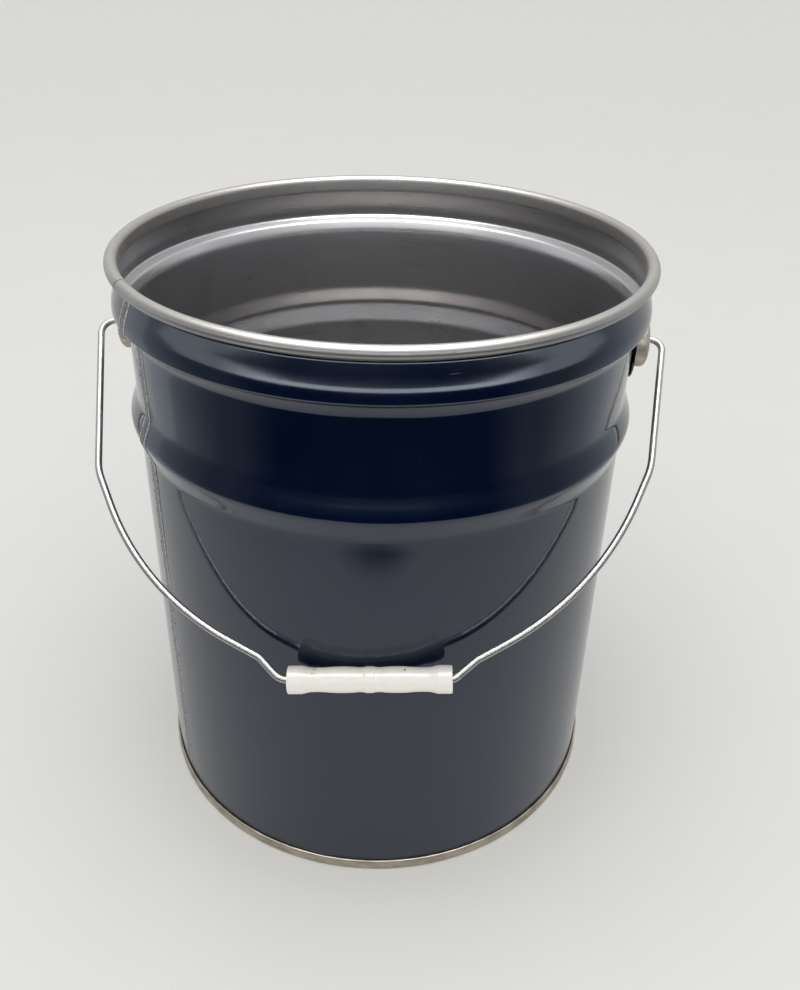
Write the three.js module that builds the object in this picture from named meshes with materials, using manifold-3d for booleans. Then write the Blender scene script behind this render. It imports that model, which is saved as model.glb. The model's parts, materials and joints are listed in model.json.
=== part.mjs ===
// Open-head steel pail with a wire bail and a plastic grip.
// Millimetres, +Z up. The origin is the centre of the circle that the bottom chime stands on.
// X runs through the two ears, and the bail hangs down on the -Y side.

import * as THREE from "three";
import { mergeVertices } from "three/addons/utils/BufferGeometryUtils.js";
import Module from "manifold-3d";

const wasm = await Module();
wasm.setup();

// Sheet metal
const SHEET = 0.5;
const RING_SIDES = 48;
const SHEET_BEND_STEP = 50;
const FLANGE_BEND_STEP = 20;
const CURL_STEP = 37;
const WIRE_BEND_STEP = 10;
const CUP_SIDES = 24;

// Pail outline, as radii and heights of the middle of the sheet
const HEIGHT = 350.8;
const CURL_TUBE_RADIUS = 3.54;
const CURL_CENTRE_RADIUS = 149.96;
const CURL_END_ANGLE = -115;
const NECK_RADIUS = CURL_CENTRE_RADIUS - CURL_TUBE_RADIUS + SHEET / 2;
const CURL_CENTRE_Z = HEIGHT - CURL_TUBE_RADIUS;
const BAND_RADIUS = 151.95;
const FOLD_RADIUS = 152.15;
const SHOULDER_RADIUS = 147.3;
const RECESS_TOP_RADIUS = 144.6;
const RECESS_FOOT_RADIUS = 144.2;
const LOWER_BEAD_RADIUS = 149.95;
const LOWER_WALL_TOP_RADIUS = 144.6;
const LOWER_WALL_FOOT_RADIUS = 143.45;

// Double seam at the chime: five layers of sheet, each one pitch from the next
const SEAM_PITCH = 0.8;
const CHIME_HEIGHT = 7;
const BODY_FLANGE_Z = 1.75;
const BODY_HOOK_TOP_Z = 4.7;
const END_HOOK_FOOT_Z = 3.1;
const PANEL_Z = 7;
const PANEL_STEP = 1.2;
const PANEL_STEP_RADIUS = 108;

// Side seam
const SEAM_AZIMUTH = -147.8;
const SEAM_WIDTH = 9;
const SEAM_PROUD = 0.45;
const CLEARANCE = 0.3;

// Ears
const EAR_Z = 296.2;
const EAR_SHEET = 1.1;
const FLANGE_INNER_X = 145.2;
const FLANGE_WIDTH = 40;
const FLANGE_FOOT_Z = 275.2;
const FLANGE_TOP_Z = 313.2;
const FLANGE_CORNER = 16;
const CUP_RADIUS = 15.9;
const CUP_FACE_X = 154.9;
const CUP_EDGE_RADIUS = 3;
const WIRE_HOLE_RADIUS = 2.6;

// Bail
const WIRE_RADIUS = 2;
const WIRE_SIDES = 10;
const REST_TILT = 48.12;
const HEAD_RADIUS = 4;
const HEAD_THICKNESS = 2.2;
const HEAD_INNER_X = 151.3;
const GRIP_DROP = 203.15;
const GRIP_SLOPE = 0.046;
const BAIL_TWIST = 0.033;
const TWIST_POWER = 6;

// Grip
const GRIP_LENGTH = 87;
const GRIP_CENTRE_X = 3.9;
const GRIP_BORE_RADIUS = 3.2;
const GRIP_MOUTH_RADIUS = 4.6;
const GRIP_SIDES = 20;

const pail = new THREE.Group();

function steel(color, roughness, metalness) {
  return new THREE.MeshStandardMaterial({ color, roughness, metalness });
}

const paintedSteel = steel(0x14171f, 0.22, 0.3);
const bareSteel = steel(0xa9a7a2, 0.35, 0.9);
const weldSteel = steel(0x5b6068, 0.5, 0.6);
const chimeSteel = steel(0x8b8273, 0.45, 0.8);
const compoundRubber = steel(0x4a4a42, 0.9, 0);
const zincWire = steel(0xc4c7c8, 0.3, 0.9);
const whitePlastic = steel(0xe9e5da, 0.35, 0);

function addPiece(parent, name, geometry, material) {
  const mesh = new THREE.Mesh(geometry, material);
  mesh.name = name;
  parent.add(mesh);
  return mesh;
}

// Rounds the corners of a polyline. A corner is [x, y, fillet radius],
// and the arc that replaces it has a point at least every bendStep degrees.
function roundedLine(corners, bendStep = SHEET_BEND_STEP) {
  const points = [];
  corners.forEach(([x, y, radius], index) => {
    const corner = new THREE.Vector2(x, y);
    if (!radius) {
      points.push(corner);
      return;
    }
    const before = new THREE.Vector2(...corners[index - 1].slice(0, 2)).sub(corner).normalize();
    const after = new THREE.Vector2(...corners[index + 1].slice(0, 2)).sub(corner).normalize();
    const turn = Math.PI - before.angleTo(after);
    const tangent = radius * Math.tan(turn / 2);
    const inward = before.clone().add(after).normalize();
    const centre = inward.multiplyScalar(radius / Math.cos(turn / 2)).add(corner);
    const start = before.clone().multiplyScalar(tangent).add(corner).sub(centre);
    const sense = Math.sign(after.cross(before));
    const steps = Math.ceil(THREE.MathUtils.radToDeg(turn) / bendStep);
    for (let step = 0; step <= steps; step += 1) {
      const spoke = start.clone().rotateAround(new THREE.Vector2(), (sense * turn * step) / steps);
      points.push(spoke.add(centre));
    }
  });
  return points;
}

// The rolled edge: an arc that starts where the neck ends and turns over the top and outward.
function curlLine() {
  const radius = CURL_TUBE_RADIUS - SHEET / 2;
  const steps = Math.ceil((180 - CURL_END_ANGLE) / CURL_STEP);
  return Array.from({ length: steps }, (_, index) => {
    const angle = THREE.MathUtils.degToRad(180 + ((CURL_END_ANGLE - 180) * (index + 1)) / steps);
    const centre = new THREE.Vector2(CURL_CENTRE_RADIUS, CURL_CENTRE_Z);
    return new THREE.Vector2(Math.cos(angle), Math.sin(angle)).multiplyScalar(radius).add(centre);
  });
}

// Moves every point of an open line sideways, to the left of its direction for a positive distance.
function offsetLine(points, distance) {
  return points.map((point, index) => {
    const before = points[Math.max(index - 1, 0)];
    const after = points[Math.min(index + 1, points.length - 1)];
    const into = point.clone().sub(before).normalize();
    const out = after.clone().sub(point).normalize();
    const along = into.clone().add(out).normalize();
    const stretch = 1 / (index > 0 && index < points.length - 1 ? along.dot(into) : 1);
    return new THREE.Vector2(-along.y, along.x).multiplyScalar(distance * stretch).add(point);
  });
}

// Outline of a sheet of the given thickness whose middle follows an open line.
function sheetOutline(line, thickness) {
  return [...offsetLine(line, thickness / 2), ...offsetLine(line, -thickness / 2).reverse()];
}

// Turns a closed outline of (radius, height) points about Z.
function turned(outline, sides = RING_SIDES) {
  const area = THREE.ShapeUtils.area(outline);
  const profile = area > 0 ? [...outline] : [...outline].reverse();
  const onAxis = profile.some((point) => Math.abs(point.x) < 1e-9);
  if (!onAxis) profile.push(profile[0].clone());
  return new THREE.LatheGeometry(profile, sides).rotateX(Math.PI / 2);
}

function toSolid(geometry) {
  const bare = geometry.clone();
  bare.deleteAttribute("normal");
  bare.deleteAttribute("uv");
  const merged = mergeVertices(bare, 1e-4);
  const mesh = new wasm.Mesh({
    numProp: 3,
    vertProperties: new Float32Array(merged.attributes.position.array),
    triVerts: new Uint32Array(merged.index.array),
  });
  return new wasm.Manifold(mesh);
}

function toGeometry(solid) {
  const mesh = solid.getMesh();
  const geometry = new THREE.BufferGeometry();
  geometry.setAttribute("position", new THREE.BufferAttribute(new Float32Array(mesh.vertProperties), 3));
  geometry.setIndex(new THREE.BufferAttribute(new Uint32Array(mesh.triVerts), 1));
  return geometry;
}

// Middle line of the body wall, from the hook in the bottom seam up to the foot of the curl.
function bodyWallLine() {
  const hookRadius = LOWER_WALL_FOOT_RADIUS + 2 * SEAM_PITCH;
  return roundedLine([
    [hookRadius, BODY_HOOK_TOP_Z, 0],
    [hookRadius, BODY_FLANGE_Z, SEAM_PITCH * 0.95],
    [LOWER_WALL_FOOT_RADIUS, BODY_FLANGE_Z, SEAM_PITCH * 0.95],
    [LOWER_WALL_TOP_RADIUS, 246, 5],
    [LOWER_BEAD_RADIUS, 257, 8],
    [RECESS_FOOT_RADIUS, 268, 12],
    [RECESS_TOP_RADIUS, 315, 4],
    [SHOULDER_RADIUS, 319.6, 2.5],
    [FOLD_RADIUS, 322.3, 2.2],
    [BAND_RADIUS, 328.5, 5],
    [NECK_RADIUS, 341, 6],
    [NECK_RADIUS, CURL_CENTRE_Z, 0],
  ]);
}

function bodyShell() {
  return turned(sheetOutline([...bodyWallLine(), ...curlLine()], SHEET));
}

function bottomEnd() {
  const chuckRadius = LOWER_WALL_FOOT_RADIUS - SEAM_PITCH;
  const outerRadius = chuckRadius + 4 * SEAM_PITCH;
  const hookRadius = chuckRadius + 2 * SEAM_PITCH;
  const line = roundedLine([
    [0, PANEL_Z + PANEL_STEP, 0],
    [PANEL_STEP_RADIUS, PANEL_Z + PANEL_STEP, 0],
    [PANEL_STEP_RADIUS + 4, PANEL_Z, 0],
    [chuckRadius, PANEL_Z, 2.5],
    [chuckRadius, SHEET / 2, 1.1],
    [outerRadius, SHEET / 2, 1.1],
    [outerRadius, CHIME_HEIGHT - SHEET / 2, SEAM_PITCH * 0.95],
    [hookRadius, CHIME_HEIGHT - SHEET / 2, SEAM_PITCH * 0.95],
    [hookRadius, END_HOOK_FOOT_Z, 0],
  ]);
  return turned(sheetOutline(line, SHEET));
}

// Ring of compound between the end of the body hook and the top of the bottom end's curl.
function seamCompound() {
  const middle = LOWER_WALL_FOOT_RADIUS + 2 * SEAM_PITCH;
  const foot = BODY_HOOK_TOP_Z + CLEARANCE;
  const top = CHIME_HEIGHT - SHEET - 2 * CLEARANCE;
  const line = [new THREE.Vector2(middle, foot), new THREE.Vector2(middle, top)];
  return turned(sheetOutline(line, SHEET));
}

// Raised strip of weld that follows the outside of the wall from the chime to below the curl.
function sideSeamWeld() {
  const inside = SHEET / 2 + CLEARANCE;
  const wall = bodyWallLine().filter((point) => point.y > CHIME_HEIGHT + 1 && point.y < CURL_CENTRE_Z - 6);
  const foot = new THREE.Vector2(LOWER_WALL_FOOT_RADIUS, CHIME_HEIGHT + CLEARANCE + 0.5);
  const line = [foot, ...wall];
  const outline = [...offsetLine(line, -inside), ...offsetLine(line, -inside - SEAM_PROUD).reverse()];
  const section = new THREE.Shape(outline);
  const strip = new THREE.ExtrudeGeometry(section, { depth: SEAM_WIDTH, bevelEnabled: false, steps: 1 });
  return strip.translate(0, 0, -SEAM_WIDTH / 2).rotateX(Math.PI / 2);
}

// Flange of an ear on the +X side: a flat rounded plate that touches the wall along its middle.
function earFlange() {
  const half = FLANGE_WIDTH / 2;
  const outline = roundedLine([
    [0, FLANGE_FOOT_Z, 0],
    [half, FLANGE_FOOT_Z, FLANGE_CORNER],
    [half, FLANGE_TOP_Z, FLANGE_CORNER],
    [0, FLANGE_TOP_Z, 0],
    [-half, FLANGE_TOP_Z, FLANGE_CORNER],
    [-half, FLANGE_FOOT_Z, FLANGE_CORNER],
    [0, FLANGE_FOOT_Z, 0],
  ], FLANGE_BEND_STEP).slice(0, -1);
  const plate = new THREE.ExtrudeGeometry(new THREE.Shape(outline), {
    depth: EAR_SHEET,
    bevelEnabled: false,
    steps: 1,
  });
  return toSolid(plate.rotateX(Math.PI / 2).rotateZ(Math.PI / 2).translate(FLANGE_INNER_X, 0, 0));
}

// Solid of revolution about the ear axis, from a closed outline of (radius, distance along X).
function aboutEarAxis(outline, sides) {
  return turned(outline, sides).rotateY(Math.PI / 2).translate(0, 0, EAR_Z);
}

function earCup() {
  const line = roundedLine([
    [WIRE_HOLE_RADIUS, CUP_FACE_X - EAR_SHEET / 2, 0],
    [CUP_RADIUS - EAR_SHEET / 2, CUP_FACE_X - EAR_SHEET / 2, CUP_EDGE_RADIUS],
    [CUP_RADIUS - EAR_SHEET / 2, FLANGE_INNER_X + EAR_SHEET / 3, 0],
  ]);
  return toSolid(aboutEarAxis(sheetOutline(line, EAR_SHEET), CUP_SIDES));
}

function ear() {
  const cavity = [
    new THREE.Vector2(0, FLANGE_INNER_X - 15),
    new THREE.Vector2(CUP_RADIUS - EAR_SHEET, FLANGE_INNER_X - 15),
    new THREE.Vector2(CUP_RADIUS - EAR_SHEET, FLANGE_INNER_X + 4),
    new THREE.Vector2(0, FLANGE_INNER_X + 4),
  ];
  const opened = earFlange().subtract(toSolid(aboutEarAxis(cavity, CUP_SIDES)));
  return toGeometry(opened.add(earCup()));
}

// A curve whose even steps land on the given points, whatever their spacing.
class SampledPath extends THREE.Curve {
  constructor(points) {
    super();
    this.points = points;
  }

  getPoint(t) {
    const place = t * (this.points.length - 1);
    const index = Math.min(Math.round(place), this.points.length - 1);
    return this.points[index].clone();
  }

  getPointAt(t) {
    return this.getPoint(t);
  }

  getTangentAt(t) {
    const index = Math.round(t * (this.points.length - 1));
    const point = this.points[index];
    const before = this.points[Math.max(index - 1, 0)];
    const after = this.points[Math.min(index + 1, this.points.length - 1)];
    const into = point.clone().sub(before).normalize();
    const out = after.clone().sub(point).normalize();
    return into.add(out).normalize();
  }
}

// Drop of the grip's axis below the ear axis. It hangs a little lower on the left.
function gripAxisDrop(x) {
  return GRIP_DROP + (GRIP_CENTRE_X - x) * GRIP_SLOPE;
}

// Middle of the wire in the bail's own plane, from the head in the left ear to the head in the right one.
// Each corner is [distance along the ear axis, distance from that axis, bend radius].
// The two arms aren't bent quite alike.
function bailCorners() {
  const headMiddle = HEAD_INNER_X + HEAD_THICKNESS / 2;
  return [
    [-headMiddle, 0, 0],
    [-168.5, 0, 8],
    [-156.8, 94, 30],
    [-122.7, 162.8, 157],
    [-56, 194, 6],
    [-44, gripAxisDrop(-44), 11],
    [48.3, gripAxisDrop(48.3), 5],
    [60, 190.6, 6],
    [124.5, 152.6, 179],
    [155.6, 79.4, 40],
    [165.2, 0, 6.5],
    [headMiddle, 0, 0],
  ];
}

// The wire leaves the bail's plane towards the wall on the left and away from it on the right.
function wirePoint({ x, y }) {
  const twist = BAIL_TWIST * (GRIP_CENTRE_X - x) * (y / GRIP_DROP) ** TWIST_POWER;
  return new THREE.Vector3(x, twist, -y);
}

function bailWire() {
  const path = new SampledPath(roundedLine(bailCorners(), WIRE_BEND_STEP).map(wirePoint));
  const circle = new THREE.Shape().absarc(0, 0, WIRE_RADIUS, 0, 2 * Math.PI);
  const wire = new THREE.ExtrudeGeometry(new THREE.Shape(circle.getSpacedPoints(WIRE_SIDES).slice(0, -1)), {
    steps: path.points.length - 1,
    extrudePath: path,
    bevelEnabled: false,
  });
  const headOutline = [
    new THREE.Vector2(0, 0),
    new THREE.Vector2(HEAD_RADIUS, 0),
    new THREE.Vector2(HEAD_RADIUS, HEAD_THICKNESS * 0.6),
    new THREE.Vector2(HEAD_RADIUS * 0.7, HEAD_THICKNESS),
    new THREE.Vector2(0, HEAD_THICKNESS),
  ];
  const head = turned(headOutline, 16).rotateY(Math.PI / 2);
  const rightHead = head.clone().translate(HEAD_INNER_X, 0, 0);
  const leftHead = head.clone().rotateZ(Math.PI).translate(-HEAD_INNER_X, 0, 0);
  return toGeometry(toSolid(wire).add(toSolid(rightHead)).add(toSolid(leftHead)));
}

// Grip: (radius, distance from its middle) of half of the moulded outline, mirrored to make the whole.
function gripSleeve() {
  const half = GRIP_LENGTH / 2;
  const outer = [
    [6.9, 0],
    [6.9, 2.3],
    [6.6, 3.8],
    [6.6, 7],
    [6.85, 9.5],
    [6.85, 19],
    [6.5, 25.5],
    [6.5, 31.5],
    [7.35, 36],
    [7.35, half - 0.8],
    [6.8, half],
  ];
  const bore = [
    [GRIP_MOUTH_RADIUS, half],
    [GRIP_MOUTH_RADIUS, half - 5],
    [GRIP_BORE_RADIUS, half - 6.5],
  ];
  const upper = [...outer, ...bore];
  const lower = [...bore].reverse().concat([...outer].reverse().slice(0, -1));
  const outline = [...upper, ...lower.map(([radius, along]) => [radius, -along])];
  const sleeve = turned(outline.map(([radius, along]) => new THREE.Vector2(radius, along)), GRIP_SIDES);
  return sleeve.rotateY(Math.PI / 2);
}

addPiece(pail, "body_shell", bodyShell(), paintedSteel);
const seam = addPiece(pail, "side_seam_weld", sideSeamWeld(), weldSteel);
seam.rotation.z = THREE.MathUtils.degToRad(SEAM_AZIMUTH);
addPiece(pail, "bottom_end", bottomEnd(), chimeSteel);
addPiece(pail, "seam_compound", seamCompound(), compoundRubber);
addPiece(pail, "ear_right", ear(), bareSteel);
const leftEar = addPiece(pail, "ear_left", ear(), bareSteel);
leftEar.rotation.z = Math.PI;

const bail = new THREE.Group();
bail.position.z = EAR_Z;
bail.rotation.x = THREE.MathUtils.degToRad(-REST_TILT);
pail.add(bail);
addPiece(bail, "bail_wire", bailWire(), zincWire);
const grip = addPiece(bail, "grip", gripSleeve(), whitePlastic);
grip.position.set(GRIP_CENTRE_X, 0, -GRIP_DROP);
grip.rotation.set(0, -Math.atan(GRIP_SLOPE), -Math.atan(BAIL_TWIST));

export default pail;
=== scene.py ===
"""An open-head steel pail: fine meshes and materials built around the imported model.

Sizes are in millimetres, and every mesh is scaled to metres as it is made.
"""

import json
import math

import bmesh
import bpy
from mathutils import Matrix, Vector, noise


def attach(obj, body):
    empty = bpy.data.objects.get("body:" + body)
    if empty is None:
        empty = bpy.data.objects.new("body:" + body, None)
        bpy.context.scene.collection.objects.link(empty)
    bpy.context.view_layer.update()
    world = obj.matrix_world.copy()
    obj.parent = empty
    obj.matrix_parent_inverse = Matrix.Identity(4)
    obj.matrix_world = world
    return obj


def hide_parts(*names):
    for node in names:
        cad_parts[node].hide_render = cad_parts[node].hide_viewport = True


MM = 0.001

# Mean radius, for lengths around the wall in the materials
AROUND_RADIUS = 148

# Sheet and outline of the pail: radii and heights of the middle of the sheet
SHEET = 0.5
SIDES = 288
HEIGHT = 350.8
CURL_TUBE_RADIUS = 3.54
CURL_CENTRE_RADIUS = 149.96
CURL_END_ANGLE = -115
NECK_RADIUS = CURL_CENTRE_RADIUS - CURL_TUBE_RADIUS + SHEET / 2
CURL_CENTRE_Z = HEIGHT - CURL_TUBE_RADIUS
BAND_RADIUS = 151.95
FOLD_RADIUS = 152.15
SHOULDER_RADIUS = 147.3
RECESS_TOP_RADIUS = 144.6
RECESS_FOOT_RADIUS = 144.2
LOWER_BEAD_RADIUS = 149.4
LOWER_WALL_TOP_RADIUS = 144.6
LOWER_WALL_FOOT_RADIUS = 143.45

# Double seam at the foot
SEAM_PITCH = 0.56
SEAM_BEND = SEAM_PITCH * 0.95
CHIME_HEIGHT = 7
BODY_FLANGE_Z = 1.2
BODY_HOOK_TOP_Z = 4.7
END_HOOK_FOOT_Z = 2.4
PANEL_Z = 7
PANEL_STEP = 1.2
PANEL_STEP_RADIUS = 108

# Side seam
SEAM_AZIMUTH = math.radians(-147.8)
SEAM_OUTSIDE = (10, 342)
SEAM_INSIDE = (14, 340)
SEAM_HALF_WIDTH = 5.4
SEAM_RIDGE = 3.8

# Ears
EAR_SHEET = 1.1
FLANGE_FACE_X = 146.3
FLANGE_HALF_WIDTH = 20
FLANGE_FOOT_Z = 275.2
FLANGE_TOP_Z = 313.2
FLANGE_CORNER = 16
CUP_RADIUS = 15.9
CUP_FACE_X = 154.9
CUP_EDGE_RADIUS = 3
CUP_BASE_FILLET = 0.8
WIRE_HOLE_RADIUS = 2.6
WIRE_HOLE_LIP = 0.3
WELD_DIMPLE_ACROSS = 8
WELD_DIMPLE_DROP = 16.9
WELD_DIMPLE_RADIUS = 1.2
WELD_DIMPLE_DEPTH = 0.3
EAR_SPOKES = 120

# Bail and grip
WIRE_RADIUS = 2
HEAD_RADIUS = 4
HEAD_THICKNESS = 2.2
HEAD_INNER_X = 151.3
GRIP_SLOPE = 0.046
BAIL_TWIST = 0.033
TWIST_POWER = 6
GRIP_LENGTH = 87
GRIP_BORE_RADIUS = 3.2
GRIP_MOUTH_RADIUS = 4.6
PARTING_ANGLE = math.radians(-50)

# Camera: direction from the pail's axis in degrees from +X, then metres and radians
CAMERA_AZIMUTH = -86.9
CAMERA_DISTANCE = 0.5347
CAMERA_HEIGHT = 0.5157
CAMERA_PITCH = 0.520
CAMERA_YAW = 0.0226
CAMERA_ROLL = 0.0245
LENS_MM = 35.09
LENS_SHIFT_Y = -0.0384

# Studio light, and the cards in metres and degrees that only reflections show
WORLD_STRENGTH = 0.83
OVERHEAD_POWER = 10
CARD_STRENGTH = 18.0
SCREEN_RADIUS = 0.50
SCREEN_HALF_ANGLE = 110
SCREEN_FOOT = 0.001
STRIP_FOOT = 0.352
STRIP_TOP = 0.405
SCREEN_TOP = 0.58

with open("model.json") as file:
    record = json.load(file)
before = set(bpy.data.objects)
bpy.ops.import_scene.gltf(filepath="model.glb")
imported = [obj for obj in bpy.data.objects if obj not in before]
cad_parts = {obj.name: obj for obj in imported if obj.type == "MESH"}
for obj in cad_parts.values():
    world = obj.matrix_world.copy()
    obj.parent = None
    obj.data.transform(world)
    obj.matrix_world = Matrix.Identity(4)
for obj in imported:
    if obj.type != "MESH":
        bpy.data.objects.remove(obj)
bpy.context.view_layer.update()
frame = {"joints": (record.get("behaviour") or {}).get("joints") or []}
joints = {joint["name"]: joint for joint in frame["joints"]}
ear_axis = Vector(joints["bail_swing"]["pos_m"])
grip_centre = Vector(joints["grip_spin"]["pos_m"])
grip_drop = grip_centre - ear_axis
rest_tilt = math.atan2(-grip_drop.y, -grip_drop.z)
grip_axis = Vector(joints["grip_spin"]["axis"])


# ---------------------------------------------------------------- lines and outlines


def rounded_line(corners, bend_step=9.0):
    """Points of a polyline of (x, y, fillet radius) corners, with its corners rounded."""
    points = []
    for index, (x, y, radius) in enumerate(corners):
        corner = Vector((x, y))
        if not radius:
            points.append(corner)
            continue
        before = (Vector(corners[index - 1][:2]) - corner).normalized()
        after = (Vector(corners[index + 1][:2]) - corner).normalized()
        turn = math.pi - before.angle(after)
        centre = corner + (before + after).normalized() * radius / math.cos(turn / 2)
        spoke = corner + before * radius * math.tan(turn / 2) - centre
        sense = math.copysign(1, after.x * before.y - after.y * before.x)
        steps = max(2, math.ceil(math.degrees(turn) / bend_step), math.ceil(turn * radius / 2.5))
        for step in range(steps + 1):
            turned = Matrix.Rotation(sense * turn * step / steps, 2) @ spoke
            points.append(centre + turned)
    return points


def offset_line(points, distance):
    """An open line moved sideways, to the left of its direction."""
    moved = []
    last = len(points) - 1
    for index, point in enumerate(points):
        into = (point - points[index - 1]).normalized() if index else None
        out = (points[index + 1] - point).normalized() if index < last else None
        along = ((into or out) + (out or into)).normalized()
        stretch = 1 / along.dot(into) if into and out else 1
        moved.append(point + Vector((-along.y, along.x)) * distance * stretch)
    return moved


def dense(points, step):
    """The same line with extra points, so that no stretch is longer than step."""
    result = [points[0]]
    for start, end in zip(points, points[1:]):
        pieces = max(1, math.ceil((end - start).length / step))
        result += [start.lerp(end, piece / pieces) for piece in range(1, pieces + 1)]
    return result


def smooth_profile(knots, steps=8):
    """A Catmull-Rom curve through (radius, position) knots."""
    padded = [knots[0], *knots, knots[-1]]
    curve = []
    for a, b, c, d in zip(padded, padded[1:], padded[2:], padded[3:]):
        a, b, c, d = (Vector(p) for p in (a, b, c, d))
        slope = c - a
        bend = 2 * a - 5 * b + 4 * c - d
        twist = 3 * b - a - 3 * c + d
        for step in range(steps):
            t = step / steps
            curve.append(0.5 * (2 * b + slope * t + bend * t**2 + twist * t**3))
    return curve + [Vector(knots[-1])]


def body_wall_line():
    """Middle of the body sheet, from its hook in the bottom seam up to the foot of the curl."""
    hook = LOWER_WALL_FOOT_RADIUS + 2 * SEAM_PITCH
    line = rounded_line(
        [
            (hook, BODY_HOOK_TOP_Z, 0),
            (hook, BODY_FLANGE_Z, SEAM_BEND),
            (LOWER_WALL_FOOT_RADIUS, BODY_FLANGE_Z, SEAM_BEND),
            (LOWER_WALL_TOP_RADIUS, 245, 12),
            (LOWER_BEAD_RADIUS, 258.3, 8),
            (RECESS_FOOT_RADIUS, 271.2, 12),
            (RECESS_TOP_RADIUS, 313.8, 10),
            (SHOULDER_RADIUS, 319.6, 3),
            (FOLD_RADIUS, 322.3, 1.8),
            (BAND_RADIUS, 327.6, 20),
            (NECK_RADIUS, 341, 4),
            (NECK_RADIUS, CURL_CENTRE_Z, 0),
        ]
    )
    return dense(line, 6)


def curl_line():
    """The rolled edge, from the top of the neck over the top and outward."""
    radius = CURL_TUBE_RADIUS - SHEET / 2
    steps = 36
    angles = [math.radians(180 + (CURL_END_ANGLE - 180) * (k + 1) / steps) for k in range(steps)]
    centre = Vector((CURL_CENTRE_RADIUS, CURL_CENTRE_Z))
    return [centre + Vector((math.cos(a), math.sin(a))) * radius for a in angles]


# ---------------------------------------------------------------- meshes


def add_mesh(name, vertices, faces, sharp_angle=40):
    """A smooth-shaded object from vertices in millimetres, with its faces turned outward."""
    mesh = bpy.data.meshes.new(name)
    mesh.from_pydata([tuple(c * MM for c in v) for v in vertices], [], faces)
    bm = bmesh.new()
    bm.from_mesh(mesh)
    bmesh.ops.recalc_face_normals(bm, faces=bm.faces)
    bm.to_mesh(mesh)
    bm.free()
    mesh.shade_smooth()
    mesh.set_sharp_from_angle(angle=math.radians(sharp_angle))
    piece = bpy.data.objects.new(name, mesh)
    bpy.context.scene.collection.objects.link(piece)
    return piece


def lathe(name, outline, sides=SIDES, wobble=None):
    """Turns a closed outline of (radius, height) points about Z. A point on the axis makes a pole."""
    vertices = []
    rings = []
    for point in outline:
        if abs(point.x) < 1e-6:
            rings.append([len(vertices)] * sides)
            vertices.append((0, 0, point.y))
            continue
        rings.append(list(range(len(vertices), len(vertices) + sides)))
        for side in range(sides):
            angle = 2 * math.pi * side / sides
            radius = point.x + (wobble(angle, point.y) if wobble else 0)
            vertices.append((radius * math.cos(angle), radius * math.sin(angle), point.y))
    faces = []
    for here, there in zip(rings, rings[1:] + rings[:1]):
        for side in range(sides):
            after = (side + 1) % sides
            corners = [here[side], here[after], there[after], there[side]]
            unique = list(dict.fromkeys(corners))
            if len(unique) > 2:
                faces.append(unique)
    return add_mesh(name, vertices, faces)


def sweep(name, path, radii, sides=24):
    """A closed tube about a path of points in 3-D, with a radius at each point."""
    vertices = []
    faces = []
    last = len(path) - 1
    side_axis = None
    for index, point in enumerate(path):
        ahead = path[min(index + 1, last)] - path[max(index - 1, 0)]
        along = ahead.normalized()
        if side_axis is None:
            side_axis = along.orthogonal().normalized()
        side_axis = (side_axis - along * side_axis.dot(along)).normalized()
        other = along.cross(side_axis)
        for side in range(sides):
            angle = 2 * math.pi * side / sides
            spoke = side_axis * math.cos(angle) + other * math.sin(angle)
            vertices.append(point + spoke * radii[index])
    for index in range(last):
        for side in range(sides):
            after = (side + 1) % sides
            low, high = index * sides, (index + 1) * sides
            faces.append([low + side, low + after, high + after, high + side])
    faces.append(list(range(sides))[::-1])
    faces.append([last * sides + side for side in range(sides)])
    return add_mesh(name, vertices, faces)


def grid_solid(name, top, bottom):
    """A closed slab between two grids of points with the same rows and columns."""
    rows, columns = len(top), len(top[0])
    vertices = [point for grid in (top, bottom) for row in grid for point in row]
    shift = rows * columns

    def quad(a, b, c, d, base):
        return [base + a, base + b, base + c, base + d]

    faces = []
    for row in range(rows - 1):
        for column in range(columns - 1):
            a = row * columns + column
            faces.append(quad(a, a + 1, a + columns + 1, a + columns, 0))
            faces.append(quad(a, a + columns, a + columns + 1, a + 1, shift))
    edge = [(0, c) for c in range(columns)]
    edge += [(r, columns - 1) for r in range(1, rows)]
    edge += [(rows - 1, c) for c in range(columns - 2, -1, -1)]
    edge += [(r, 0) for r in range(rows - 2, 0, -1)]
    for (r0, c0), (r1, c1) in zip(edge, edge[1:] + edge[:1]):
        a, b = r0 * columns + c0, r1 * columns + c1
        faces.append([a, b, b + shift, a + shift])
    return add_mesh(name, vertices, faces)


def apply_modifiers(piece):
    """Replaces a piece's mesh with what its modifiers make of it."""
    bpy.context.view_layer.update()
    evaluated = piece.evaluated_get(bpy.context.evaluated_depsgraph_get())
    made = bpy.data.meshes.new_from_object(evaluated)
    piece.modifiers.clear()
    piece.data = made
    made.shade_smooth()
    made.set_sharp_from_angle(angle=math.radians(35))
    return piece


# ---------------------------------------------------------------- pieces


def wall_wobble(angle, z):
    """Small out-of-round of the rolled sheet, in millimetres, fading out at the seam and the curl."""
    fade = min(1, max(0, (z - 12) / 40)) * min(1, max(0, (300 - z) / 40))
    place = Vector((math.cos(angle) * 1.6, math.sin(angle) * 1.6, z / 160))
    return 0.22 * fade * noise.noise(place)


def body_shell():
    """The rolled wall with its bottom hook, bands, neck and curl, all of one sheet."""
    line = body_wall_line() + curl_line()
    outer = offset_line(line, -SHEET / 2)
    inner = offset_line(line, SHEET / 2)
    return lathe("pail_body", outer + inner[::-1], wobble=wall_wobble)


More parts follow.
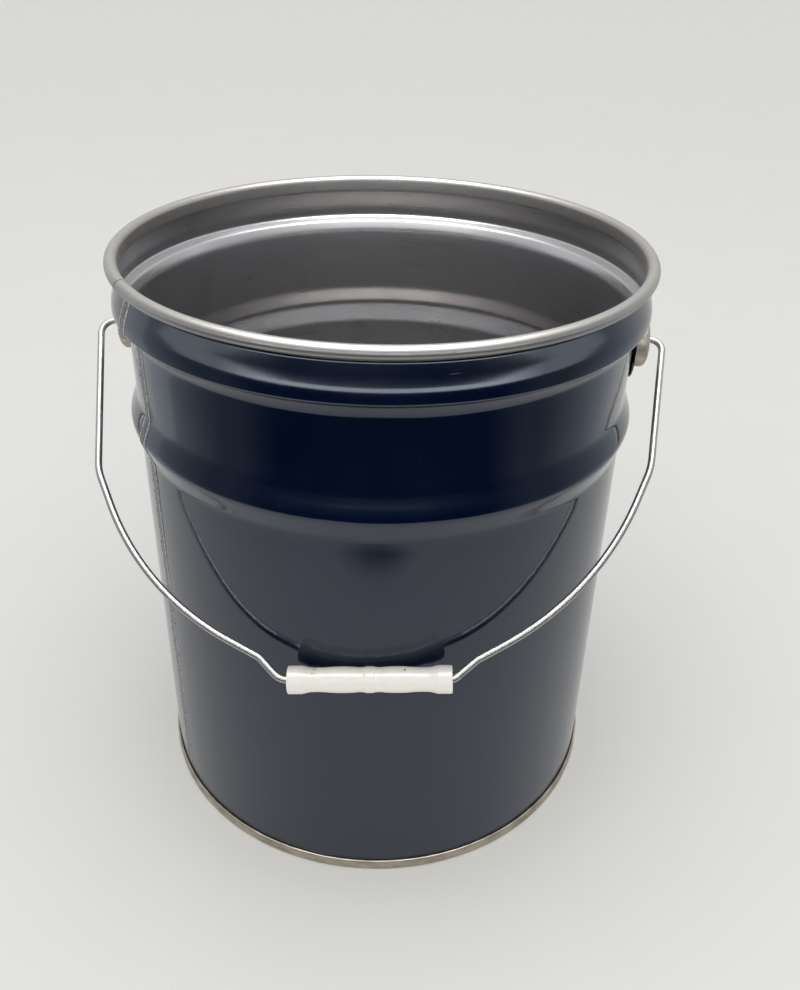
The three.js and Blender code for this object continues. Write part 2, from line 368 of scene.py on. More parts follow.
def bottom_end():
    """The stamped bottom, with its edge rolled round the wall's hook to make the chime."""
    chuck = LOWER_WALL_FOOT_RADIUS - SEAM_PITCH
    outer = chuck + 4 * SEAM_PITCH
    hook = chuck + 2 * SEAM_PITCH
    line = rounded_line(
        [
            (0, PANEL_Z + PANEL_STEP, 0),
            (PANEL_STEP_RADIUS, PANEL_Z + PANEL_STEP, 3),
            (PANEL_STEP_RADIUS + 4, PANEL_Z, 3),
            (chuck, PANEL_Z, 2.5),
            (chuck, SHEET / 2, 1.1),
            (outer, SHEET / 2, 1.1),
            (outer, CHIME_HEIGHT - SHEET / 2, SEAM_BEND),
            (hook, CHIME_HEIGHT - SHEET / 2, SEAM_BEND),
            (hook, END_HOOK_FOOT_Z, 0),
        ]
    )
    line = dense(line, 12)
    outline = offset_line(line, SHEET / 2) + offset_line(line, -SHEET / 2)[::-1]
    for point in outline:
        if point.x < 1:
            point.x = 0
    return lathe("bottom_and_chime", outline)


def seam_compound():
    """The ring of compound above the wall's hook, inside the chime."""
    middle = LOWER_WALL_FOOT_RADIUS + 2 * SEAM_PITCH
    half = SHEET / 2
    foot, top = BODY_HOOK_TOP_Z + 0.3, CHIME_HEIGHT - SHEET - 0.6
    outline = [Vector((middle + half, foot)), Vector((middle + half, top))]
    outline += [Vector((middle - half, top)), Vector((middle - half, foot))]
    return lathe("sealing_compound", outline)


def seam_ridge(across, along):
    """Height of the weld above the wall: two lap edges with a rippled nugget between them."""
    ripple = 0.5 + 0.5 * math.sin(along * 2.6 + 0.8 * noise.noise(Vector((along * 0.3, 0, 0))))
    grain = noise.noise(Vector((across * 1.3, along * 0.9, 3.1)))
    edges = math.exp(-(((abs(across) - SEAM_RIDGE) / 0.7) ** 2))
    nugget = math.exp(-((across / 1.3) ** 2))
    return 0.08 + 0.42 * edges * (0.75 + 0.5 * grain) + nugget * (0.1 + 0.14 * ripple) + 0.06 * grain


def side_seam(name, face_sign, foot_z, top_z):
    """Weld strip on one face of the wall: face_sign is 1 outside and -1 inside."""
    wall = [p for p in dense(body_wall_line(), 1.0) if foot_z < p.y < top_z]
    surface = offset_line(wall, -face_sign * SHEET / 2)
    lifted = offset_line(wall, -face_sign * (SHEET / 2 + 1))
    columns = 25
    top, bottom = [], []
    travelled = 0
    for index, (point, beyond) in enumerate(zip(surface, lifted)):
        travelled += (point - surface[index - 1]).length if index else 0
        normal = beyond - point
        ends = min(1, index / 3, (len(surface) - 1 - index) / 3)
        top_row, bottom_row = [], []
        for column in range(columns):
            across = SEAM_HALF_WIDTH * (2 * column / (columns - 1) - 1)
            rim = min(1, (SEAM_HALF_WIDTH - abs(across)) / 0.6)
            height = seam_ridge(across, travelled) * ends * rim
            for row, lift in ((top_row, height), (bottom_row, -0.12)):
                place = point + normal * lift
                angle = SEAM_AZIMUTH + across / place.x
                row.append((place.x * math.cos(angle), place.x * math.sin(angle), place.y))
        top.append(top_row)
        bottom.append(bottom_row)
    return grid_solid(name, top, bottom)


def flange_reach(angle):
    """Distance from the ear axis to the edge of the flange, in a direction seen along X."""
    centre_z = (FLANGE_FOOT_Z + FLANGE_TOP_Z) / 2
    half_height = (FLANGE_TOP_Z - FLANGE_FOOT_Z) / 2
    start = ear_axis.z / MM - centre_z
    low, high = 0.0, 40.0
    for _ in range(30):
        reach = (low + high) / 2
        across = abs(reach * math.cos(angle)) - (FLANGE_HALF_WIDTH - FLANGE_CORNER)
        up = abs(start + reach * math.sin(angle)) - (half_height - FLANGE_CORNER)
        outside = math.hypot(max(across, 0), max(up, 0)) + min(max(across, up), 0) > FLANGE_CORNER
        low, high = (low, reach) if outside else (reach, high)
    return low


def weld_dimple(across, up):
    """Depth of the two spot-weld marks at a place on the flange, seen along X from the ear axis."""
    sides = (-WELD_DIMPLE_ACROSS, WELD_DIMPLE_ACROSS)
    away = min(math.hypot(across - side, up + WELD_DIMPLE_DROP) for side in sides)
    return WELD_DIMPLE_DEPTH * math.exp(-((away / WELD_DIMPLE_RADIUS) ** 2))


def ear(name, side):
    """A pressed cup ear: cup, base fillet and flat flange, as one sheet of even thickness."""
    edge = CUP_RADIUS - CUP_EDGE_RADIUS
    lip = WIRE_HOLE_RADIUS + WIRE_HOLE_LIP
    cup = [(WIRE_HOLE_RADIUS, CUP_FACE_X - 0.25), (lip, CUP_FACE_X)]
    cup += [(lip + (edge - lip) * k / 6, CUP_FACE_X) for k in range(1, 7)]
    for step in range(1, 10):
        angle = math.radians(90 * step / 9)
        reach = edge + CUP_EDGE_RADIUS * math.sin(angle)
        cup.append((reach, CUP_FACE_X - CUP_EDGE_RADIUS * (1 - math.cos(angle))))
    wall_top = cup[-1][1]
    base_x = FLANGE_FACE_X + CUP_BASE_FILLET
    cup += [(CUP_RADIUS, wall_top + (base_x - wall_top) * k / 4) for k in range(1, 5)]
    for step in range(1, 5):
        bend = math.radians(90 * step / 4)
        reach = CUP_RADIUS + CUP_BASE_FILLET * (1 - math.cos(bend))
        cup.append((reach, base_x - CUP_BASE_FILLET * math.sin(bend)))
    columns = []
    for spoke in range(EAR_SPOKES):
        angle = 2 * math.pi * spoke / EAR_SPOKES
        cos_angle, sin_angle = math.cos(angle), math.sin(angle)
        outer = flange_reach(angle)
        inner = CUP_RADIUS + CUP_BASE_FILLET
        column = list(cup)
        for step in range(1, 7):
            reach = inner + (outer - inner) * step / 6
            column.append((reach, FLANGE_FACE_X - weld_dimple(reach * cos_angle, reach * sin_angle)))
        axis_z = ear_axis.z / MM
        columns.append([(x, reach * cos_angle, axis_z + reach * sin_angle) for reach, x in column])
    rows = len(columns[0])
    vertices = [point for column in columns for point in column]
    faces = []
    for spoke in range(EAR_SPOKES):
        after = (spoke + 1) % EAR_SPOKES
        for row in range(rows - 1):
            a, b = spoke * rows + row, after * rows + row
            faces.append([a, b, b + 1, a + 1])
    piece = add_mesh(name, vertices, faces)
    if side < 0:
        piece.data.transform(Matrix.Rotation(math.pi, 4, "Z"))
    thickness = piece.modifiers.new("sheet", "SOLIDIFY")
    thickness.thickness = EAR_SHEET * MM
    thickness.offset = -1
    thickness.use_even_offset = True
    bevel = piece.modifiers.new("edges", "BEVEL")
    bevel.width = 0.18 * MM
    bevel.segments = 2
    bevel.limit_method = "ANGLE"
    bevel.angle_limit = math.radians(50)
    return apply_modifiers(piece)


def bail_line():
    """Middle of the wire in the bail's own plane, from the left ear to the right: (along X, drop)."""
    grip_x = grip_centre.x / MM
    grip_level = grip_drop.length / MM

    def axis_drop(x):
        return grip_level + (grip_x - x) * GRIP_SLOPE

    return rounded_line(
        [
            (-HEAD_INNER_X, 0, 0),
            (-168.5, 0, 8),
            (-156.8, 94, 30),
            (-122.7, 162.8, 157),
            (-56, 194, 6),
            (-44, axis_drop(-44), 11),
            (48.3, axis_drop(48.3), 5),
            (60, 190.6, 6),
            (124.5, 152.6, 179),
            (155.6, 79.4, 40),
            (165.2, 0, 6.5),
            (HEAD_INNER_X, 0, 0),
        ],
        bend_step=5,
    )


def wire_point(point):
    """A point of the bail's line in space. The wire leaves its plane a little near the grip."""
    down = Vector((0, -math.sin(rest_tilt), -math.cos(rest_tilt)))
    inward = Vector((0, math.cos(rest_tilt), -math.sin(rest_tilt)))
    level = grip_drop.length / MM
    twist = BAIL_TWIST * (grip_centre.x / MM - point.x) * (point.y / level) ** TWIST_POWER
    return ear_axis / MM + Vector((point.x, 0, 0)) + down * point.y + inward * twist


def wire_radius(point):
    """The upset head at each end is wider than the wire and rounded."""
    depth = abs(point.x) - HEAD_INNER_X
    if point.y > 1 or depth > HEAD_THICKNESS:
        return WIRE_RADIUS
    across = 2 * depth / HEAD_THICKNESS - 1
    return WIRE_RADIUS + (HEAD_RADIUS - WIRE_RADIUS) * math.sqrt(max(0, 1 - across**4))


def bail_wire():
    """The bent wire with an upset head at each end."""
    line = bail_line()
    fine = dense(line[:2], 0.3) + dense(line[1:-1], 1.2)[1:] + dense(line[-2:], 0.3)[1:]
    return sweep("bail", [wire_point(p) for p in fine], [wire_radius(p) for p in fine])


def grip_sleeve():
    """The moulded sleeve: waisted, with a collar at each end, a mould line and a stepped bore."""
    half = GRIP_LENGTH / 2
    knots = [(6.9, 0), (6.88, 1.7), (6.5, 3.4), (6.42, 6), (6.72, 9), (6.85, 14), (6.75, 19)]
    knots += [(6.4, 24), (6.3, 28), (6.42, 31.5), (7.25, 35.4), (7.38, 36.6)]
    knots += [(7.38, half - 1), (7.1, half - 0.25), (6.7, half)]
    outer = smooth_profile(knots)
    bore = [Vector((GRIP_MOUTH_RADIUS + 0.4, half)), Vector((GRIP_MOUTH_RADIUS, half - 0.4))]
    bore += [Vector((GRIP_MOUTH_RADIUS, half - 5)), Vector((GRIP_BORE_RADIUS, half - 6.5))]
    upper = outer + bore
    lower = [Vector((p.x, -p.y)) for p in bore[::-1] + outer[::-1][:-1]]

    def parting(angle, _z):
        half_turn = (angle - PARTING_ANGLE) / 2
        ridge = min(abs(math.sin(half_turn)), abs(math.cos(half_turn)))
        return 0.13 * math.exp(-((ridge * 55) ** 2))

    piece = lathe("grip_sleeve", upper + lower, sides=120, wobble=parting)
    turn = Vector((0, 0, 1)).rotation_difference(grip_axis).to_matrix().to_4x4()
    piece.data.transform(turn)
    piece.data.transform(Matrix.Translation(grip_centre))
    return piece


# ---------------------------------------------------------------- materials


def color(value):
    """A colour for a socket: three numbers get an alpha, and a socket stays as it is."""
    return (*value, 1.0) if isinstance(value, tuple) else value


class Graph:
    """A short way to write a material's nodes. Lengths in its coordinates are in millimetres."""

    def __init__(self, name):
        self.material = bpy.data.materials.new(name)
        self.material.use_nodes = True
        self.tree = self.material.node_tree
        self.shader = self.tree.nodes["Principled BSDF"]
        place = self.tree.nodes.new("ShaderNodeTexCoord").outputs["Object"]
        self.place = self.vector("SCALE", place, Scale=1 / MM)

    def node(self, kind, *values, settings=None, **named):
        made = self.tree.nodes.new(kind)
        for key, value in (settings or {}).items():
            setattr(made, key, value)
        for key, value in [*enumerate(values), *named.items()]:
            self.feed(made.inputs[key], value)
        return made

    def feed(self, socket, value):
        if isinstance(value, bpy.types.NodeSocket):
            self.tree.links.new(value, socket)
        elif value is not None:
            socket.default_value = value

    def math(self, operation, *values):
        return self.node("ShaderNodeMath", *values, settings={"operation": operation}).outputs[0]

    def vector(self, operation, *values, **named):
        settings = {"operation": operation}
        return self.node("ShaderNodeVectorMath", *values, settings=settings, **named).outputs[0]

    def noise(self, size, stretch=(1, 1, 1), detail=2.0, place=None, seed=0.0):
        """Noise from 0 to 1 with features about size millimetres across, times stretch."""
        scale = tuple(1 / (size * s) for s in stretch)
        spot = self.vector("MULTIPLY_ADD", place or self.place, scale, (seed, seed, seed))
        return self.node("ShaderNodeTexNoise", Vector=spot, Scale=1.0, Detail=detail).outputs[0]

    def around(self):
        """Coordinates that follow the wall: length around it, radius and height."""
        x, y, z = self.node("ShaderNodeSeparateXYZ", self.place).outputs[:]
        angle = self.math("ARCTAN2", y, x)
        squares = self.math("ADD", self.math("MULTIPLY", x, x), self.math("MULTIPLY", y, y))
        reach = self.math("SQRT", squares)
        length = self.math("MULTIPLY", angle, AROUND_RADIUS)
        return self.node("ShaderNodeCombineXYZ", length, reach, z).outputs[0]

    def part(self, vector, axis):
        return self.node("ShaderNodeSeparateXYZ", vector).outputs[axis]

    def span(self, value, low, high, start=0.0, end=1.0):
        """The value's place between low and high, as a number from start to end."""
        return self.node("ShaderNodeMapRange", value, low, high, start, end).outputs[0]

    def mix(self, factor, first, second):
        made = self.node("ShaderNodeMix", settings={"data_type": "RGBA"})
        self.feed(made.inputs[0], factor)
        self.feed(made.inputs[6], color(first))
        self.feed(made.inputs[7], color(second))
        return made.outputs[2]

    def near(self, spot, radius, soft):
        """1 within a radius of a spot in millimetres, fading to 0 over the soft width."""
        away = self.node("ShaderNodeVectorMath", self.place, spot, settings={"operation": "DISTANCE"})
        return self.span(away.outputs["Value"], radius + soft, radius, 0.0, 1.0)

    def finish(self, base, roughness, metallic, height=None, depth=0.01, **named):
        """Connects the shader. depth is the height in millimetres that a height of 1 stands for."""
        self.feed(self.shader.inputs["Base Color"], color(base))
        self.feed(self.shader.inputs["Roughness"], roughness)
        self.feed(self.shader.inputs["Metallic"], metallic)
        for key, value in named.items():
            self.feed(self.shader.inputs[key.replace("_", " ")], value)
        if height is not None:
            bump = self.node("ShaderNodeBump", Height=height, Distance=depth * MM)
            self.feed(self.shader.inputs["Normal"], bump.outputs[0])
        return self.material


def enamel(name="navy_enamel"):
    """Gloss enamel: faint orange peel, dust specks and a few short scratches."""
    g = Graph(name)
    wall = g.around()
    peel = g.noise(1.6, detail=1.0)
    sag = g.noise(14, stretch=(1, 1, 2.5), place=wall)
    scratch = g.span(g.noise(1.0, stretch=(0.35, 1, 9), place=wall, detail=1.0, seed=31.0), 0.80, 0.83)
    graze = g.span(g.noise(2.0, stretch=(7, 1, 0.35), place=wall, detail=1.0, seed=57.0), 0.82, 0.85)
    dust = g.span(g.noise(0.7, detail=0.0, seed=11.0), 0.86, 0.90)
    haze = g.span(g.noise(40, detail=4.0), 0.35, 0.75)
    marks = g.math("MAXIMUM", g.math("MAXIMUM", scratch, graze), dust)
    base = g.mix(haze, (0.0006, 0.0038, 0.0165), (0.0016, 0.0052, 0.0205))
    base = g.mix(g.math("MULTIPLY", marks, 0.10), base, (0.16, 0.17, 0.19))
    rough = g.math("ADD", g.span(haze, 0.0, 1.0, 0.10, 0.14), g.math("MULTIPLY", marks, 0.25))
    height = g.math("ADD", g.math("MULTIPLY", peel, 0.35), g.math("MULTIPLY", sag, 2.0))
    tint = (0.87, 0.93, 1.0, 1.0)
    return g.finish(base, rough, 0.0, height, depth=0.012, IOR=1.65, Specular_Tint=tint)


def bare_steel(name, clean, stained, smoothest):
    """Cold-rolled sheet inside the pail: fine grain around the wall, stains and handling marks."""
    g = Graph(name)
    wall = g.around()
    grain = g.noise(1.0, stretch=(30, 1, 0.25), place=wall, detail=3.0)
    rolls = g.noise(9, stretch=(0.5, 1, 14), place=wall, detail=3.0, seed=5.0)
    stain = g.span(g.noise(34, stretch=(1, 1, 1.6), place=wall, detail=5.0, seed=8.0), 0.38, 0.72)
    scuff = g.span(g.noise(5, stretch=(1, 1, 5), place=wall, detail=3.0, seed=71.0), 0.66, 0.74)
    base = g.mix(stain, clean, stained)
    base = g.mix(g.math("MULTIPLY", scuff, 0.12), base, (0.75, 0.75, 0.74))
    polish = g.span(grain, 0.3, 0.7, smoothest, smoothest + 0.05)
    rough = g.math("ADD", polish, g.math("MULTIPLY", stain, 0.06))
    height = g.math("ADD", grain, g.math("MULTIPLY", rolls, 0.8))
    return g.finish(base, rough, 1.0, height, depth=0.005)


def curl_steel():
    """The rolled edge: satin, warmer than the wall, with fine lines around it and small nicks."""
    g = Graph("curl_steel")
    wall = g.around()
    lines = g.noise(1.0, stretch=(40, 1, 0.22), place=wall, detail=2.0)
    patch = g.span(g.noise(16, stretch=(2, 1, 1), place=wall, detail=4.0), 0.35, 0.7)
    nick = g.span(g.noise(1.6, detail=1.0, seed=4.0), 0.74, 0.80)
    base = g.mix(patch, (0.37, 0.36, 0.35), (0.30, 0.29, 0.28))
    base = g.mix(g.math("MULTIPLY", nick, 0.7), base, (0.10, 0.09, 0.08))
    away = g.math("ABSOLUTE", g.math("SUBTRACT", g.part(wall, 0), SEAM_AZIMUTH * AROUND_RADIUS))
    joint = g.span(away, 1.1, 0.4)
    base = g.mix(g.math("MULTIPLY", joint, 0.75), base, (0.06, 0.06, 0.065))
    rough = g.span(patch, 0.0, 1.0, 0.40, 0.48)
    marks = g.math("ADD", g.math("MULTIPLY", nick, 6.0), g.math("MULTIPLY", joint, 40.0))
    height = g.math("SUBTRACT", lines, marks)
    return g.finish(base, rough, 1.0, height, depth=0.003)


def tinplate():
    """Tan-grey plate of the bottom end, with ripples and streaks left by the seaming rolls."""
    g = Graph("tan_tinplate")
    wall = g.around()
    ripple = g.noise(4.5, stretch=(1, 1, 6), place=wall, detail=2.0)
    streak = g.noise(1.2, stretch=(12, 1, 0.3), place=wall, detail=3.0, seed=9.0)
    stain = g.span(g.noise(7, stretch=(2, 1, 1), place=wall, detail=5.0), 0.40, 0.66)
    rust = g.span(g.noise(3.0, detail=4.0, seed=3.0), 0.67, 0.78)
    base = g.mix(stain, (0.46, 0.415, 0.345), (0.29, 0.255, 0.205))
    base = g.mix(g.math("MULTIPLY", rust, 0.6), base, (0.16, 0.10, 0.06))
    rough = g.span(streak, 0.3, 0.7, 0.34, 0.52)
    height = g.math("ADD", g.math("MULTIPLY", ripple, 4.0), streak)
    return g.finish(base, rough, 0.85, height, depth=0.02)


def ear_steel():
    """Zinc-plated pressing gone dull and tan, with a little rust beside the wire."""
    g = Graph("ear_plating")
    bloom = g.span(g.noise(4, detail=5.0), 0.35, 0.68)
    pit = g.noise(0.5, detail=2.0, seed=2.0)
    rust = g.span(g.noise(2.6, detail=3.0, seed=6.0), 0.62, 0.72)
    base = g.mix(bloom, (0.56, 0.51, 0.43), (0.42, 0.38, 0.32))
    base = g.mix(g.math("MULTIPLY", rust, 0.7), base, (0.22, 0.09, 0.045))
    rough = g.span(bloom, 0.0, 1.0, 0.38, 0.55)
    return g.finish(base, rough, 0.8, pit, depth=0.02)


def weld_steel():
    """Side seam: thinly painted weld, with bare metal on its ridges and in mottled spots."""
    g = Graph("weld")
    wall = g.around()
    across = g.math("ABSOLUTE", g.math("SUBTRACT", g.part(wall, 0), SEAM_AZIMUTH * AROUND_RADIUS))
    off_ridge = g.math("ABSOLUTE", g.math("SUBTRACT", across, SEAM_RIDGE))
    ridge = g.span(off_ridge, 1.0, 0.35)
    teeth = g.span(g.noise(1.5, stretch=(0.8, 1, 1), place=wall, detail=3.0, seed=17.0), 0.36, 0.50)
    along = g.noise(1.1, stretch=(0.6, 1, 1), place=wall, detail=4.0)
    bare = g.span(along, 0.47, 0.60)
    shine = g.math("MAXIMUM", g.math("MULTIPLY", ridge, teeth), g.math("MULTIPLY", bare, 0.28))
    base = g.mix(shine, (0.035, 0.039, 0.048), (0.55, 0.56, 0.56))
    rough = g.span(along, 0.3, 0.7, 0.22, 0.42)
    metal = g.math("MULTIPLY", shine, 0.9)
    return g.finish(base, rough, metal, along, depth=0.15)


def compound():
    """Dull sealing compound in the bottom seam."""
    g = Graph("compound")
    lump = g.noise(0.8, detail=4.0)
    base = g.mix(lump, (0.05, 0.05, 0.042), (0.09, 0.088, 0.075))
    return g.finish(base, g.span(lump, 0.0, 1.0, 0.75, 0.95), 0.0, lump, depth=0.1)


def zinc():
    """Drawn galvanised wire: bright, with faint lines and a few dull spots."""
    g = Graph("zinc")
    draw = g.noise(0.5, stretch=(8, 8, 8), detail=3.0)
    spot = g.span(g.noise(6, detail=3.0, seed=1.0), 0.50, 0.80)
    pit = g.noise(0.6, detail=1.0, seed=7.0)
    base = g.mix(spot, (0.46, 0.465, 0.45), (0.38, 0.38, 0.37))
    rough = g.math("ADD", g.span(draw, 0.3, 0.7, 0.36, 0.42), g.math("MULTIPLY", spot, 0.08))
    return g.finish(base, rough, 1.0, pit, depth=0.001)


def plastic():
    """Off-white polyethylene with handling scuffs, reddish smears at one end and one dark speck."""
    g = Graph("plastic")
    centre = grip_centre / MM
    left = tuple(centre + grip_axis * -30.5 + Vector((0, -0.9, 6.8)))
    speck = tuple(centre + grip_axis * 18.2 + Vector((0, -0.2, 6.9)))
    flow = g.noise(5, stretch=(6, 1, 1), detail=3.0)
    scuff = g.span(g.noise(1.4, stretch=(3, 1, 1), detail=4.0, seed=21.0), 0.64, 0.74)
    smear = g.span(g.noise(1.8, stretch=(1.6, 1, 1), detail=4.0, seed=41.0), 0.50, 0.62)
    smear = g.math("MULTIPLY", smear, g.near(left, 1.2, 3))
    grime = g.span(g.noise(9, detail=5.0, seed=14.0), 0.5, 0.8)
    base = g.mix(flow, (0.90, 0.88, 0.82), (0.85, 0.83, 0.765))
    base = g.mix(g.math("MULTIPLY", grime, 0.15), base, (0.55, 0.51, 0.43))
    base = g.mix(g.math("MULTIPLY", scuff, 0.22), base, (0.45, 0.42, 0.37))
    base = g.mix(g.math("MULTIPLY", smear, 0.6), base, (0.34, 0.13, 0.07))
    base = g.mix(g.near(speck, 0.45, 0.2), base, (0.02, 0.02, 0.02))
    rough = g.math("ADD", g.span(flow, 0.3, 0.7, 0.28, 0.36), g.math("MULTIPLY", scuff, 0.2))
    height = g.math("ADD", g.noise(1.2, detail=2.0), g.math("MULTIPLY", scuff, -1.0))
    return g.finish(base, rough, 0.0, height, depth=0.02, Subsurface_Weight=0.08, Subsurface_Scale=0.004)


paint = enamel()
steel = bare_steel("bare_steel", (0.53, 0.53, 0.545), (0.47, 0.47, 0.49), 0.26)
dull_steel = bare_steel("dull_steel", (0.25, 0.235, 0.225), (0.20, 0.185, 0.18), 0.45)
curl = curl_steel()
tin = tinplate()
ear_metal = ear_steel()
weld = weld_steel()
rubber = compound()
wire = zinc()
white = plastic()


# ---------------------------------------------------------------- assembly


def assign(piece, body, node, slot, *materials):
    """Says which body a piece rides, which node it stands for and its materials. The slot is not used.
    """
    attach(piece, body)
    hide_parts(*([node] if node else []))
    for material in materials:
        piece.data.materials.append(material)


def paint_body(piece):
    """Gives the inside of the wall bare steel and the curl satin steel. The rest stays painted."""
    for polygon in piece.data.polygons:
        centre = polygon.center / MM
        radial = Vector((centre.x, centre.y, 0)).normalized()
        inside = polygon.normal.dot(radial) < 0 and centre.z > CHIME_HEIGHT
        if centre.z > CURL_CENTRE_Z - CURL_TUBE_RADIUS - 0.2:
            polygon.material_index = 2
        elif inside:
            polygon.material_index = 1


def paint_bottom(piece):
    """Gives the side of the bottom that faces into the pail a duller bare steel."""
    for polygon in piece.data.polygons:
        centre = polygon.center / MM
        inside = math.hypot(centre.x, centre.y) < LOWER_WALL_FOOT_RADIUS - SEAM_PITCH
        if inside and centre.z > SHEET and polygon.normal.z > 0.01:
            polygon.material_index = 1


def paint_ear(piece):
    """Leaves the cup bare and gives the flange the navy enamel."""
    for polygon in piece.data.polygons:
        centre = polygon.center / MM
        reach = math.hypot(centre.y, centre.z - ear_axis.z / MM)
        if reach > CUP_RADIUS + 0.5:
            polygon.material_index = 1


body_piece = body_shell()
assign(body_piece, "can", "body_shell", "painted_steel", paint, steel, curl)
paint_body(body_piece)
bottom_piece = bottom_end()
assign(bottom_piece, "can", "bottom_end", "bottom_steel", tin, dull_steel)
paint_bottom(bottom_piece)
assign(seam_compound(), "can", "seam_compound", "seam_rubber", rubber)
outside_seam = side_seam("side_seam_outside", 1, *SEAM_OUTSIDE)
assign(outside_seam, "can", "side_seam_weld", "weld_steel", weld)
inside_seam = side_seam("side_seam_inside", -1, *SEAM_INSIDE)
assign(inside_seam, "can", None, "weld_steel", weld)
for ear_name, ear_node, ear_side in (
    ("ear_cup_right", "ear_right", 1),
    ("ear_cup_left", "ear_left", -1),
):
    ear_piece = ear(ear_name, ear_side)
    assign(ear_piece, "can", ear_node, "ear_steel", ear_metal, paint)
    paint_ear(ear_piece)
assign(bail_wire(), "bail", "bail_wire", "wire_steel", wire)
assign(grip_sleeve(), "grip_sleeve", "grip", "grip_plastic", white)


# ---------------------------------------------------------------- floor, lights, camera


def add_stage_mesh(name, vertices, faces, material):
    mesh = bpy.data.meshes.new(name)
    mesh.from_pydata(vertices, [], faces)
    stage = bpy.data.objects.new(name, mesh)
    bpy.context.scene.collection.objects.link(stage)
    mesh.materials.append(material)
    return stage


def pale_floor():
    """Matt off-white floor, very faintly clouded."""
    g = Graph("pale_floor")
    cloud = g.noise(90, detail=5.0)
    grain = g.noise(2.0, detail=3.0, seed=3.0)
    base = g.mix(cloud, (0.80, 0.795, 0.78), (0.83, 0.825, 0.81))
    return g.finish(base, g.span(grain, 0.0, 1.0, 0.6, 0.75), 0.0, grain, depth=0.03)


def add_floor():
    half = 20
    corners = [(-half, -half, 0), (half, -half, 0), (half, half, 0), (-half, half, 0)]
    add_stage_mesh("floor", corners, [(0, 1, 2, 3)], pale_floor())


def glow(name, core, middle, edge):
    """Light of a screen, as strengths at its core, past its core and at its two ends."""
    g = Graph(name)
    x, y, _z = g.node("ShaderNodeSeparateXYZ", g.place).outputs[:]
    side = g.math("ABSOLUTE", g.math("SUBTRACT", g.math("ARCTAN2", y, x), math.radians(CAMERA_AZIMUTH)))
    step = g.span(side, math.radians(40), math.radians(56))
    far = g.span(side, math.radians(64), math.radians(SCREEN_HALF_ANGLE))
    strength = g.math("ADD", core, g.math("MULTIPLY", step, middle - core))
    strength = g.math("ADD", strength, g.math("MULTIPLY", far, edge - middle))
    light = g.node("ShaderNodeEmission", (0.90, 0.95, 1.0, 1), strength)
    g.tree.links.new(light.outputs[0], g.tree.nodes["Material Output"].inputs["Surface"])
    return g.material


def hide_from_all_but_gloss(stage):
    """Leaves a stage object visible in glossy reflections only."""
    stage.visible_camera = False
    stage.visible_diffuse = False
    stage.visible_shadow = False
    stage.visible_transmission = False


def add_screen(name, foot, top, core, middle, edge):
    """An upright curved card in front of the pail that only its reflections show."""
    steps = 60
    low, high = [], []
    for step in range(steps + 1):
        angle = math.radians(CAMERA_AZIMUTH + SCREEN_HALF_ANGLE * (2 * step / steps - 1))
        x, y = SCREEN_RADIUS * math.cos(angle), SCREEN_RADIUS * math.sin(angle)
        low.append((x, y, foot))
        high.append((x, y, top))
    faces = [(k, k + 1, steps + 2 + k, steps + 1 + k) for k in range(steps)]
    screen = add_stage_mesh(name, low + high, faces, glow(name, core, middle, edge))
    hide_from_all_but_gloss(screen)


def add_floor_shade():
    """A soft dark patch on the floor under the camera that only reflections show."""
    g = Graph("floor_shade")
    azimuth = math.radians(CAMERA_AZIMUTH)
    centre = Vector((math.cos(azimuth), math.sin(azimuth), 0)) * 478
    away = g.vector("MULTIPLY", g.vector("SUBTRACT", g.place, tuple(centre)), (0.28, 1, 1))
    length = g.node("ShaderNodeVectorMath", away, settings={"operation": "LENGTH"}).outputs["Value"]
    shade = g.span(length, 48, 10)
    clear = g.node("ShaderNodeBsdfTransparent").outputs[0]
    dark = g.node("ShaderNodeEmission", (0.02, 0.02, 0.03, 1), 1.0).outputs[0]
    surface = g.node("ShaderNodeMixShader", g.math("MULTIPLY", shade, 0.9), clear, dark).outputs[0]
    g.tree.links.new(surface, g.tree.nodes["Material Output"].inputs["Surface"])
    x, y = centre.x * MM, centre.y * MM
    wide, deep, level = 0.2, 0.06, 0.0005
    corners = [(x - wide, y - deep, level), (x + wide, y - deep, level)]
    corners += [(x + wide, y + deep, level), (x - wide, y + deep, level)]
    hide_from_all_but_gloss(add_stage_mesh("floor_shade", corners, [(0, 1, 2, 3)], g.material))


def add_overhead_card():
    """A bright card above the pail that only the metal's reflections show."""
    g = Graph("overhead_card")
    light = g.node("ShaderNodeEmission", (1.0, 0.98, 0.95, 1), CARD_STRENGTH)
    g.tree.links.new(light.outputs[0], g.tree.nodes["Material Output"].inputs["Surface"])
    corners = [(-0.55, -0.5, 1.6), (0.55, -0.5, 1.6), (0.55, 0.3, 1.6), (-0.55, 0.3, 1.6)]
    hide_from_all_but_gloss(add_stage_mesh("overhead_card", corners, [(0, 1, 2, 3)], g.material))


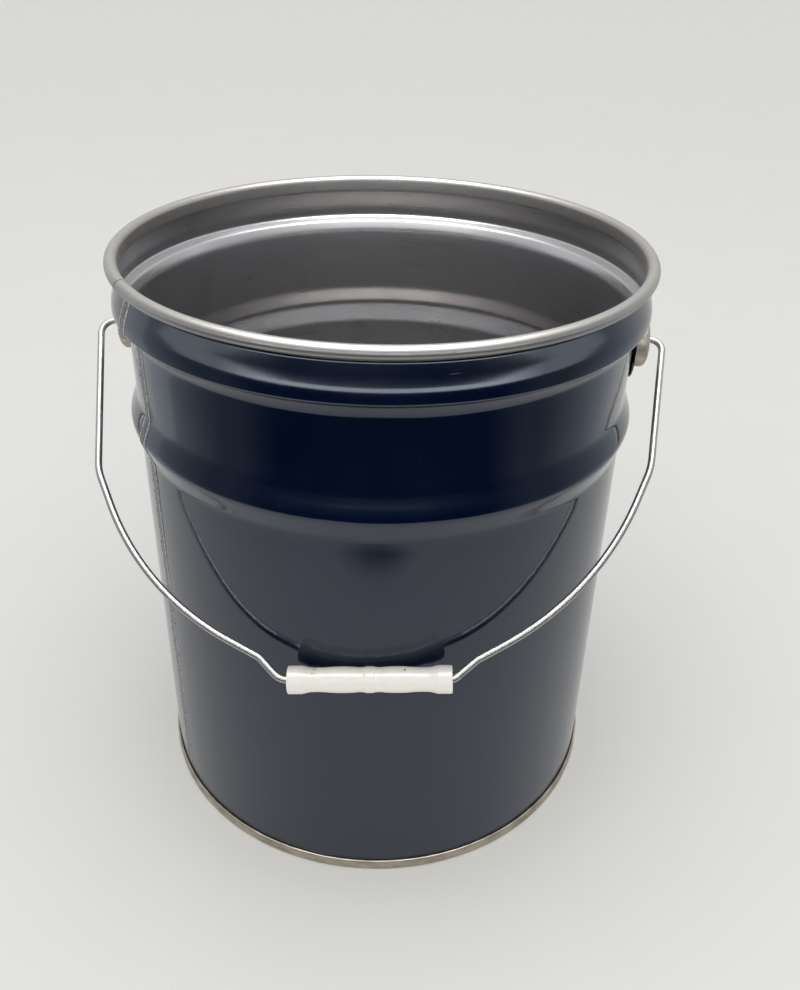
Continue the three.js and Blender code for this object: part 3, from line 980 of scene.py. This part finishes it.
def add_area_light(name, place_at, target, size, power):
    data = bpy.data.lights.new(name, "AREA")
    data.shape = "RECTANGLE"
    data.size, data.size_y = size
    data.energy = power
    light = bpy.data.objects.new(name, data)
    light.location = place_at
    light.rotation_euler = (Vector(target) - Vector(place_at)).to_track_quat("-Z", "Y").to_euler()
    bpy.context.scene.collection.objects.link(light)


def add_world():
    world = bpy.data.worlds.new("studio")
    world.use_nodes = True
    background = world.node_tree.nodes["Background"]
    background.inputs["Color"].default_value = (1.0, 1.0, 0.99, 1)
    background.inputs["Strength"].default_value = WORLD_STRENGTH
    bpy.context.scene.world = world


def add_camera():
    """A camera half a metre away and half a metre up, looking down at the pail."""
    sin_yaw, cos_yaw = math.sin(CAMERA_YAW), math.cos(CAMERA_YAW)
    sin_pitch, cos_pitch = math.sin(CAMERA_PITCH), math.cos(CAMERA_PITCH)
    sin_roll, cos_roll = math.sin(CAMERA_ROLL), math.cos(CAMERA_ROLL)
    right = Vector((cos_yaw, -sin_yaw, 0))
    forward = Vector((sin_yaw * cos_pitch, cos_yaw * cos_pitch, -sin_pitch))
    up = right.cross(forward)
    rolled_right = right * cos_roll + up * sin_roll
    rolled_up = up * cos_roll - right * sin_roll
    axes = Matrix((rolled_right, rolled_up, -forward)).transposed().to_4x4()
    data = bpy.data.cameras.new("camera")
    data.sensor_width = 36
    data.lens = LENS_MM
    data.shift_y = LENS_SHIFT_Y
    data.clip_end = 60
    camera = bpy.data.objects.new("camera", data)
    turn = Matrix.Rotation(math.radians(CAMERA_AZIMUTH + 90), 4, "Z")
    camera.matrix_world = turn @ Matrix.Translation((0, -CAMERA_DISTANCE, CAMERA_HEIGHT)) @ axes
    bpy.context.scene.collection.objects.link(camera)
    bpy.context.scene.camera = camera


add_floor()
add_world()
add_screen("dark_screen", SCREEN_FOOT, STRIP_FOOT, 0.0, 0.17, 0.8)
add_screen("bright_screen", STRIP_FOOT, STRIP_TOP, 4.5, 1.6, 0.8)
add_screen("dark_upper_screen", STRIP_TOP, SCREEN_TOP, 0.0, 0.17, 0.8)
add_floor_shade()
add_overhead_card()
add_area_light("overhead", (-0.1, -0.9, 2.0), (0, 0, 0.1), (2.6, 2.0), OVERHEAD_POWER)
add_camera()
bpy.context.scene.view_settings.view_transform = "Standard"
